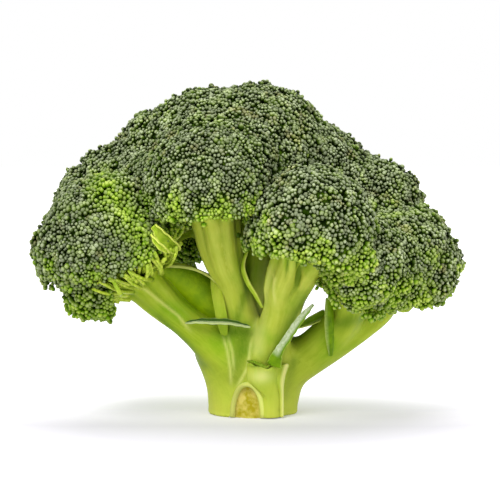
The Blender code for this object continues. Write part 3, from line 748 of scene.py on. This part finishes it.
# Crowns that grew together: between each two the fold is filled to this share of a straight line.
GROWN_TOGETHER = {
    ("top", "top_left"): 0.95, ("top", "top_right"): 0.94, ("top_left", "upper_left"): 0.97,
    ("top_left", "centre"): 0.95, ("top", "centre"): 0.91, ("top_right", "upper_right"): 0.93,
    ("upper_left", "left"): 0.86, ("upper_left", "centre"): 0.90, ("upper_right", "right"): 0.90,
    ("lower_right", "right"): 0.93, ("back_left", "upper_left"): 0.93, ("top", "back_centre"): 0.93,
    ("back_left", "back_centre"): 0.90, ("back_centre", "back_right"): 0.90,
    ("top_left", "back_centre"): 0.92, ("top_left", "back_left"): 0.92, ("top", "back_right"): 0.92,
    ("top_right", "back_right"): 0.93, ("back_right", "far_right"): 0.90,
    ("far_right", "upper_right"): 0.92, ("far_right", "right"): 0.90,
}
for (one, other), fullness in GROWN_TOGETHER.items():
    start = np.array([*CROWNS[one][0], CROWNS[one][1]])
    end = np.array([*CROWNS[other][0], CROWNS[other][1]])
    for share in (0.2, 0.4, 0.6, 0.8):
        ball = start + (end - start) * share
        ball[3] *= fullness
        owner = one if share < 0.5 else other
        BALLS[owner] = np.vstack([BALLS[owner], ball])


def depth_in(spots, balls):
    """How deep each spot lies in the joined balls, below 0 outside them."""
    gaps = np.linalg.norm(spots[:, None, :] - balls[None, :, :3], axis=2)
    return (balls[:, 3] - gaps).max(1)


def below_hem(name, spots, give_way=0.0, with_lobe=True):
    """Which spots lie under a crown's hem, and not in its hanging lobe."""
    centre, radius, facing, underside, hem = CROWNS[name]
    facing = np.array(Vector(facing).normalized())
    under = ((spots - centre) @ facing) < -radius * hem + give_way
    under |= spots[:, 2] < LOWEST.get(name, 0.0) + give_way
    under |= above_arch(name, spots) < give_way
    if name in LOBES and with_lobe:
        lobe, size, least, most = LOBES[name]
        held = np.linalg.norm(spots - lobe, axis=1) < size + 1
        under &= ~(held & (spots[:, 0] > least) & (spots[:, 0] < most))
    return under


TUFTS = 46
TUFT_BUDS = 9


def hem_ring(name, swing, share, drop):
    """A spot under the crown's hem: how far out it lies, in radii, and how far below the hem."""
    centre, radius, facing, underside, hem = CROWNS[name]
    turn = Vector(facing).normalized().to_track_quat("Z", "Y")
    side = Vector((math.cos(swing), math.sin(swing), 0.0))
    side.rotate(turn)
    facing = Vector(facing).normalized()
    return Vector(centre) + side * radius * share - facing * (radius * hem + drop), side


def hanging_tufts(name):
    """Small clusters of buds that hang below the hem, as seats and ways out."""
    chance = random.Random(len(name) * 7 + ord(name[-1]))
    facing = Vector(CROWNS[name][2]).normalized()
    ends, outs = [], []
    for k in range(TUFTS):
        swing = 2 * math.pi * (k + chance.random()) / TUFTS
        middle, side = hem_ring(name, swing, chance.uniform(0.72, 0.95), chance.uniform(-1.5, 1.2))
        for _ in range(TUFT_BUDS):
            way = Vector([chance.gauss(0, 1) for _ in range(3)]).normalized()
            way = (way + side * 0.7 - facing * 0.5).normalized()
            ends.append(middle + way * 2.1)
            outs.append(way)
    return np.array(ends), np.array(outs)


def bud_places(name):
    """The seat and the way out of every bud of one crown."""
    draw = np.random.default_rng(len(name) * 101 + ord(name[0]))
    seats, ways = [], []
    for ball in BALLS[name]:
        count = int(4 * math.pi * ball[3] ** 2 / 0.36)
        i = np.arange(count)
        level = 1 - 2 * (i + 0.5) / count
        around = i * math.pi * (3 - math.sqrt(5)) + draw.uniform(0, 6)
        flat = np.sqrt(1 - level ** 2)
        way = np.stack([flat * np.cos(around), flat * np.sin(around), level], 1)
        seat = ball[:3] + way * ball[3]
        clear = depth_in(seat, BALLS[name]) < 0.2
        if name in LOBES and ball[3] == LOBES[name][1]:
            clear |= below_hem(name, seat, with_lobe=False)
        clear &= ~below_hem(name, seat, draw.uniform(-1.5, 1.5, count))
        seats.append(seat[clear])
        ways.append(way[clear])
    if name in LOBES and LOBES[name][3] < 90:
        lobe, size, least, most = LOBES[name]
        flat = math.sqrt(size ** 2 - (most - lobe[0]) ** 2)
        spots = np.column_stack([np.full(700, most), draw.uniform(-flat, flat, (700, 2)) + lobe[1:]])
        spots = spots[np.hypot(spots[:, 1] - lobe[1], spots[:, 2] - lobe[2]) < flat]
        spots = spots[below_hem(name, spots, -0.5, with_lobe=False)]
        seats.append(spots)
        ways.append(np.tile((1.0, 0.0, -0.2), (len(spots), 1)))
    ends, outs = hanging_tufts(name)
    kept = (ends[:, 2] > LOWEST.get(name, 0.0) - 1.5) & (above_arch(name, ends) > -3.2)
    seats.append(ends[kept])
    ways.append(outs[kept])
    seats = np.concatenate(seats)
    ways = np.concatenate(ways)
    for other, balls in BALLS.items():
        if other != name:
            clear = (depth_in(seats, balls) < 0.1) | below_hem(other, seats, 0.5)
            seats, ways = seats[clear], ways[clear]
    fine = FINENESS.get(name, OTHER_FINENESS)
    gap = BUD_GAP * fine
    cells, kept = {}, []
    for n in draw.permutation(len(seats)):
        x, y, z = seats[n].tolist()
        key = int(x // gap), int(y // gap), int(z // gap)
        near = [spot for a in (-1, 0, 1) for b in (-1, 0, 1) for c in (-1, 0, 1)
                for spot in cells.get((key[0] + a, key[1] + b, key[2] + c), ())]
        if all((x - u) ** 2 + (y - v) ** 2 + (z - w) ** 2 > gap * gap for u, v, w in near):
            cells.setdefault(key, []).append((x, y, z))
            kept.append(n)
    seats, ways = seats[kept], ways[kept]
    room = BUD_ROOM * fine
    for _ in range(4):
        near = kdtree.KDTree(len(seats))
        for n, seat in enumerate(seats):
            near.insert(seat, n)
        near.balance()
        shift = np.zeros(seats.shape)
        for n, seat in enumerate(seats):
            for spot, other, apart in near.find_n(seat, 7)[1:]:
                if 0 < apart < room:
                    shift[n] += (seat - np.array(spot)) * (0.3 * (room - apart) / apart)
        shift -= ways * (shift * ways).sum(1)[:, None]
        seats = seats + np.clip(shift, -0.4, 0.4)
    return seats, ways


# One bud: an eight-sided bead, longer than wide, its sepals folded over the tip.
bud = bmesh.new()
bmesh.ops.create_uvsphere(bud, u_segments=8, v_segments=4, radius=1.0)
for vert in bud.verts:
    angle = math.atan2(vert.co.y, vert.co.x)
    drop = math.acos(max(-1.0, min(1.0, vert.co.z))) * 0.82
    flat = math.sin(drop) * (1 + 0.07 * math.cos(4 * angle))
    if vert.co.z < -0.99:
        flat, drop = 0.0, math.radians(152)
    vert.co = Vector((flat * math.cos(angle), flat * math.sin(angle), math.cos(drop) * 1.22))
face_map = bud.loops.layers.uv.new("OFBake")
for face in bud.faces:
    for loop in face.loops:
        x, y, z = loop.vert.co
        drop = math.acos(max(-1.0, min(1.0, z / 1.22))) / math.pi
        angle = math.atan2(y, x)
        flat = math.hypot(x, y)
        middle = face.calc_center_median()
        if flat < 1e-4:
            angle = math.atan2(middle.y, middle.x)
        loop[face_map].uv = (0.5 + 0.46 * drop * math.cos(angle), 0.5 + 0.46 * drop * math.sin(angle))
bud_mesh = bpy.data.meshes.new("bud")
bud.to_mesh(bud_mesh)
bud.free()
bud_mesh.shade_smooth()
bud_shape = points_of(bud_mesh)
bud_corners = np.empty(len(bud_mesh.loops) * 2, np.float32)
bud_mesh.uv_layers["OFBake"].uv.foreach_get("vector", bud_corners)

budskin, recipe, shader = coat("bud_skin", 0.38, Specular_IOR_Level=0.1)
place = add(recipe, "TexCoord").outputs["Object"]
tip = attribute(recipe, "tip")
mood = add(recipe, "SeparateColor", {"Color": attribute(recipe, "mood", "Color")})
patch = speckle(recipe, place, 55.0, 2.0)
fleck = speckle(recipe, place, 2400.0, 2.0)
colour = blend(recipe, spread(recipe, patch, 0.40, 0.66), tone(84, 102, 30), tone(78, 100, 6))
colour = blend(recipe, spread(recipe, mood.outputs["Red"], 0.35, 1.0, 0.0, 0.7), colour, tone(44, 60, 16))
# Paler grey-green towards each bud's tip: partly the waxy bloom, partly a painted highlight.
frost = times(recipe, spread(recipe, tip, 0.50, 1.0), spread(recipe, mood.outputs["Red"], 0.0, 1.0, 1.0, 0.5))
colour = blend(recipe, frost, colour, tone(198, 208, 170))
rust = spread(recipe, speckle(recipe, place, 130.0, 2.0), 0.58, 0.70, 0.0, 0.4)
rust = times(recipe, rust, spread(recipe, tip, 0.0, 0.8))
colour = blend(recipe, rust, colour, tone(164, 148, 70))
# A painted shade in the small cleft at the very tip of each bud.
colour = blend(recipe, spread(recipe, tip, 0.90, 1.0, 0.0, 0.5), colour, tone(60, 76, 22))
colour = blend(recipe, spread(recipe, fleck, 0.5, 0.75, 0.0, 0.30), colour, tone(190, 200, 176))
young = mood.outputs["Green"]
unripe = blend(recipe, spread(recipe, tip, 0.2, 0.9), tone(142, 177, 4), tone(180, 199, 82))
colour = blend(recipe, young, colour, unripe)
# Painted shade towards each bud's foot, and over creases and darker crowns through the mood's blue.
shade = blend(recipe, young, tone(10, 22, 0), tone(80, 122, 0))
colour = blend(recipe, spread(recipe, tip, 0.60, 0.05, 0.0, 0.96), colour, shade)
colour = blend(recipe, spread(recipe, mood.outputs["Blue"], 0.0, 1.0, 0.0, 0.6), colour, shade)
recipe.links.new(colour, shader.inputs["Base Color"])
recipe.links.new(spread(recipe, fleck, 0.3, 0.7, 0.34, 0.5), shader.inputs["Roughness"])

# The flesh under the buds is painted near black, a painted shade for the depth between the buds, with greener
# patches and a lime underside.
flesh_and_shade, recipe, shader = coat("crown_flesh_and_shade", 0.7, Specular_IOR_Level=0.05)
place = add(recipe, "TexCoord").outputs["Object"]
cloud = speckle(recipe, place, 380.0, 4.0)
bowl = attribute(recipe, "bowl")
colour = blend(recipe, spread(recipe, cloud, 0.35, 0.65), tone(14, 28, 0), tone(44, 72, 0))
patch = speckle(recipe, place, 120.0, 2.0)
colour = blend(recipe, spread(recipe, patch, 0.55, 0.70, 0.0, 0.8), colour, tone(86, 122, 6))
under = blend(recipe, spread(recipe, cloud, 0.35, 0.65), tone(96, 134, 10), tone(168, 190, 64))
colour = blend(recipe, bowl, colour, under)
recipe.links.new(colour, shader.inputs["Base Color"])
relief = add(recipe, "Bump", {"Height": cloud, "Strength": 0.6, "Distance": 0.001}).outputs["Normal"]
recipe.links.new(relief, shader.inputs["Normal"])

SPRIGS = {"left": 180, "front": 150, "centre": 150}
OTHER_SPRIGS = 110
FRINGE = {"left": 3.2, "centre": 1.5}  # how much further the stalklets hang below the hem
lime, recipe, shader = coat("lime_stalklet", 0.5, Specular_IOR_Level=0.25)
place = add(recipe, "TexCoord").outputs["Object"]
cloud = speckle(recipe, place, 520.0, 3.0)
patch = speckle(recipe, place, 70.0, 2.0)
colour = blend(recipe, spread(recipe, cloud, 0.35, 0.65), tone(150, 180, 14), tone(204, 216, 84))
colour = blend(recipe, spread(recipe, patch, 0.45, 0.65, 0.0, 0.7), colour, tone(108, 150, 8))
recipe.links.new(colour, shader.inputs["Base Color"])

YOUTH = {  # how far above the hem young buds reach, how green the others are, and how much painted shade darkens them all
    "right": (18.0, 0.10, 0.06), "lower_right": (15.0, 0.10, 0.06), "front": (10.0, 0.02, 0.03),
    "left": (7.0, 0.08, 0.22), "centre": (6.0, 0.06, 0.18),
}
VALLEY = [Vector(p) for p in ((-56.5, 91), (-50, 86), (-44, 77), (-38, 68))]


def valley_gap(x, z):
    """Distance, seen from the front, to the fold where young yellow-green buds show."""
    spot = Vector((x, z))
    best = 99.0
    for a, b in zip(VALLEY, VALLEY[1:]):
        t = max(0.0, min(1.0, (spot - a).dot(b - a) / (b - a).length_squared))
        best = min(best, (spot - a.lerp(b, t)).length)
    return best


noise.seed_set(5)  # noise_vector draws its offsets from the clock until this is set


def relief_at(spot):
    """Height of the bud surface over the crown: small heads side by side, with creases between."""
    spot = Vector(spot)
    bent = spot + noise.noise_vector(spot * 0.09) * 3.5
    near = noise.voronoi(bent / 12.5)[0]
    fine = bent / 5.0 + Vector((7, 3, 1))
    small, hearts = noise.voronoi(fine)
    fold = 1.0 - min(1.0, (near[1] - near[0]) / 0.42)
    dent = 1.0 - min(1.0, (small[1] - small[0]) / 0.40)
    height = 0.6 + noise.noise(spot * 0.11) * 1.2 - 1.5 * fold ** 1.5 - 1.1 * dent ** 1.2
    return height, max(0.8 * fold, 0.8 * dent), (hearts[0] - fine) * 5.0


for name, (centre, radius, facing, underside, hem) in CROWNS.items():
    facing = Vector(facing).normalized()
    seats, ways = bud_places(name)
    count = len(seats)
    draw = np.random.default_rng(count)
    many = bpy.data.objects.new("buds_" + name, bud_mesh)
    bpy.context.scene.collection.objects.link(many)
    row = many.modifiers.new("row", "ARRAY")
    row.count = count
    row.use_relative_offset = False
    repeated = many.evaluated_get(bpy.context.evaluated_depsgraph_get())
    many.data = bpy.data.meshes.new_from_object(repeated)
    many.data.name = many.name
    many.modifiers.clear()

    found = [relief_at(seat) for seat in seats]
    heights = np.array([(height, crease_shading) for height, crease_shading, heart in found])
    lifts = heights[:, 0] + draw.normal(0, HEIGHT_SCATTER, count)
    pull = np.array([heart for height, crease_shading, heart in found]) * CLUSTERING
    seats = seats + pull - ways * (pull * ways).sum(1)[:, None]
    ways = ways + LEAN_OUT * (seats - centre) / np.linalg.norm(seats - centre, axis=1)[:, None]
    ways += draw.normal(0, WAY_SCATTER, (count, 3))
    ways /= np.linalg.norm(ways, axis=1)[:, None]
    aside = np.cross(ways, draw.normal(0, 1, (count, 3)))
    aside /= np.linalg.norm(aside, axis=1)[:, None]
    over = np.cross(ways, aside)
    swell = np.array([1 + SIZE_SWELL * noise.noise(Vector(seat) * 0.14) for seat in seats])
    sizes = swell * BUD_RADIUS * FINENESS.get(name, OTHER_FINENESS) * draw.uniform(0.72, 1.16, count)
    squeeze = draw.uniform(0.80, 1.16, (count, 1, 3))
    turns = np.stack([aside, over, ways], 2) * sizes[:, None, None] * squeeze
    middles = seats + ways * (lifts - BUD_SINK)[:, None]
    placed = middles[:, None, :] + np.einsum("nij,vj->nvi", turns, bud_shape)
    many.data.vertices.foreach_set("co", (placed * MM).astype(np.float32).ravel())
    side = math.ceil(math.sqrt(count))
    cell = np.stack([np.arange(count) % side, np.arange(count) // side], 1)
    corners = (cell[:, None, :] + bud_corners.reshape(1, -1, 2)) / side
    many.data.uv_layers["OFBake"].uv.foreach_set("vector", corners.astype(np.float32).ravel())
    give(many.data, "tip", np.tile(bud_shape[:, 2] / 1.22, count))
    young = np.zeros(count)
    reach_up, greenness, dusk = YOUTH.get(name, (5.0, 0.05, 0.10))
    for n, (x, y, z) in enumerate(seats):
        low = ((Vector((x, y, z)) - Vector(centre)).dot(facing) + radius * hem) / reach_up
        patch = noise.noise(Vector((x, y, z)) * 0.13 + Vector((5, 0, 2)))
        young[n] = min(0.95, max(0.0, (1.2 + 1.7 * patch - low) * 0.95))
        if y < 2:
            young[n] = max(young[n], 1.05 - valley_gap(x, z) / 8.0)
        young[n] = max(young[n], (0.1 - ways[n, 2]) * 1.4 * (0.75 + 1.2 * patch))
        young[n] += 0.25 * noise.noise(Vector((x, y, z)) * 0.16)
    young = np.clip(young * draw.uniform(0.45, 1.2, count) + draw.normal(greenness, 0.07, count), 0, 0.95)
    # mood holds a random share, the buds' youth, and painted shade from the creases and the crown's
    # darkening.
    mood = np.stack([draw.random(count), young, heights[:, 1] + dusk, np.ones(count)], 1)
    give(many.data, "mood", np.repeat(mood, len(bud_shape), 0), "FLOAT_COLOR")
    many.data.materials.clear()
    many.data.materials.append(budskin)
    many.data.update()
    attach(many, "root")
    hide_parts("crown_" + name)

    flesh = bmesh.new()
    bmesh.ops.create_icosphere(flesh, subdivisions=6 if name in FINENESS else 5, radius=1.0)
    ways = np.array([v.co.normalized() for v in flesh.verts])
    balls = BALLS[name]
    middle = balls[:, :3] - centre
    ahead = ways @ middle.T
    inside = balls[:, 3] ** 2 - (middle ** 2).sum(1) + ahead ** 2
    reach = np.where(inside > 0, ahead + np.sqrt(np.maximum(inside, 0)), 0).max(1) - BUD_SINK - 1.0
    deep = []
    for vert, way, far in zip(flesh.verts, ways, reach):
        spot = Vector(way) * far
        spot += Vector(way) * relief_at(spot + Vector(centre))[0]
        low = spot.dot(facing) + radius * hem
        if low < 0:
            spot -= facing * low
            rim = max(0.0, 1 - (spot + facing * radius * hem).length / (radius * 0.86))
            spot += facing * (radius * (hem - underside * 0.4) * min(1.0, rim * 1.8))
        if name in ARCHES:
            sunk = above_arch(name, [spot + Vector(centre)])[0] - 1.5
            if sunk < 0:
                spot -= Vector(ARCHES[name][0]).normalized() * sunk
                low = min(low, 0.0)
        spot.z = max(spot.z, LOWEST.get(name, 0.0) + 1.0 - centre[2])
        vert.co = (Vector(centre) + spot) * MM
        deep.append(1.0 if low < 0.5 else max(0.0, 1 - low / 2.5))
    if name in LOBES:
        lobe, size, least, most = LOBES[name]
        ball = bmesh.ops.create_icosphere(flesh, subdivisions=5, radius=size)["verts"]
        for vert in ball:
            spot = vert.co + Vector(lobe)
            vert.co = (spot + vert.co.normalized() * (relief_at(spot)[0] - BUD_SINK - 1.0)) * MM
        for edge, out in ((least + 0.8, -1), (most - 0.8, 1)):
            ball = flesh.verts[len(deep):]
            geom = [*ball, *dict.fromkeys(e for vert in ball for e in vert.link_edges),
                    *dict.fromkeys(f for vert in ball for f in vert.link_faces)]
            cut = bmesh.ops.bisect_plane(flesh, geom=geom, dist=1e-6, plane_co=(edge * MM, 0, 0),
                                         plane_no=(out, 0, 0), clear_outer=True)
            open_edges = [part for part in cut["geom_cut"] if isinstance(part, bmesh.types.BMEdge)]
            bmesh.ops.holes_fill(flesh, edges=open_edges)
        bmesh.ops.recalc_face_normals(flesh, faces=flesh.faces)
        deep += [0.0] * (len(flesh.verts) - len(deep))
    core = new_piece(flesh, "core_" + name, flesh_and_shade)
    core.data.shade_smooth()
    give(core.data, "bowl", deep)
    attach(core, "root")

    sprigs = bmesh.new()
    chance = random.Random(count)
    under = under_crown(name)[0]
    sprig_count = SPRIGS.get(name, OTHER_SPRIGS)
    for k in range(sprig_count):
        swing = 2 * math.pi * (k + chance.random()) / sprig_count
        reach = math.sqrt(1 - min(hem, 0.5) ** 2) * chance.uniform(0.84, 1.03 if name == "left" else 0.95)
        outer, side = hem_ring(name, swing, reach, chance.uniform(-3.5, 1.0 + FRINGE.get(name, 0.0)))
        outer.z = max(outer.z, LOWEST.get(name, 0.0) + 1.0)
        if name in ARCHES:
            sunk = above_arch(name, [outer])[0] + chance.uniform(0.0, 3.4)
            outer -= Vector(ARCHES[name][0]).normalized() * min(0.0, sunk)
            outer += Vector((chance.uniform(-3.0, 3.0), chance.uniform(-1.0, 0.4), 0.0))
        inner = under + side * radius * chance.uniform(0.30, 0.52) + facing * chance.uniform(-1, 2)
        if name in ARCHES:
            inner += Vector((chance.uniform(-4.0, 4.0), chance.uniform(-4.0, 4.0), chance.uniform(-2.0, 2.0)))
        bend = (inner + outer) / 2 - facing * chance.uniform(0.5, 2.0) + side * chance.uniform(0.0, 2.0)
        thick = chance.uniform(0.55, 0.95)
        stalklet = [(*inner, thick * 1.5), (*bend, thick), (*outer, thick * 0.9)]
        grow_limb(sprigs, smooth_line(stalklet, 2), sides=6)
    bmesh.ops.scale(sprigs, vec=(MM, MM, MM), verts=sprigs.verts)
    bmesh.ops.recalc_face_normals(sprigs, faces=sprigs.faces)
    stalklets = new_piece(sprigs, "sprigs_" + name, lime)
    stalklets.data.shade_smooth()
    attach(stalklets, "root")


# The floor, the camera and the light. The floor is a plain white table that glows, a painted light that rises
# away from the stalk and behind it, so that it stays white there and the stalk's shadow behind it is lifted.
# Three soft lamps stand round it, the strongest at the upper left.
floor = bmesh.new()
bmesh.ops.create_grid(floor, x_segments=1, y_segments=1, size=1.2)
paper, recipe, shader = coat("paper", 0.9)
shader.inputs["Base Color"].default_value = (0.64, 0.625, 0.675, 1)
place = add(recipe, "TexCoord").outputs["Object"]
away = add(recipe, "VectorMath", {0: place}, operation="LENGTH").outputs["Value"]
behind = add(recipe, "SeparateXYZ", {"Vector": place}).outputs["Y"]
shadow_lifting_glow = add(recipe, "Math", {0: spread(recipe, away, 0.08, 0.40, 0.0, 0.8),
                            1: spread(recipe, behind, -0.035, 0.05, 0.0, 0.66)},
           operation="MAXIMUM").outputs[0]
shader.inputs["Emission Color"].default_value = (1, 1, 1, 1)
recipe.links.new(shadow_lifting_glow, shader.inputs["Emission Strength"])
table = new_piece(floor, "floor", paper)
table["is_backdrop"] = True

middle = Vector((-0.0008, 0.0, 0.0640))
tilt = math.radians(6.0)
far = 1.3
eye = bpy.data.cameras.new("camera")
eye.lens = 36.0 * far / 0.195
camera = bpy.data.objects.new("camera", eye)
camera.location = middle + Vector((0, -math.cos(tilt), math.sin(tilt))) * far
camera.rotation_euler = (math.radians(90) - tilt, 0, 0)
bpy.context.scene.collection.objects.link(camera)
bpy.context.scene.camera = camera


def lamp(name, place, size, power):
    light = bpy.data.lights.new(name, "AREA")
    light.size = size
    light.energy = power
    made = bpy.data.objects.new(name, light)
    made.location = place
    made.rotation_euler = (Vector((0, 0, 0.06)) - Vector(place)).to_track_quat("-Z", "Y").to_euler()
    bpy.context.scene.collection.objects.link(made)


lamp("key", (-0.42, -0.78, 0.98), 0.6, 14.2)
lamp("fill", (0.9, -0.8, 0.5), 0.9, 4.2)
lamp("top", (0.0, 0.1, 1.2), 1.0, 7.6)
world = bpy.data.worlds.new("studio")
world.use_nodes = True
backdrop = world.node_tree.nodes["Background"]
backdrop.inputs["Color"].default_value = (1, 1, 1, 1)
seen = world.node_tree.nodes.new("ShaderNodeLightPath").outputs["Is Camera Ray"]
strength = spread(world.node_tree, seen, 0.0, 1.0, 0.67, 1.0)
world.node_tree.links.new(strength, backdrop.inputs["Strength"])
bpy.context.scene.world = world
bpy.context.scene.view_settings.view_transform = "Standard"

low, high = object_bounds()
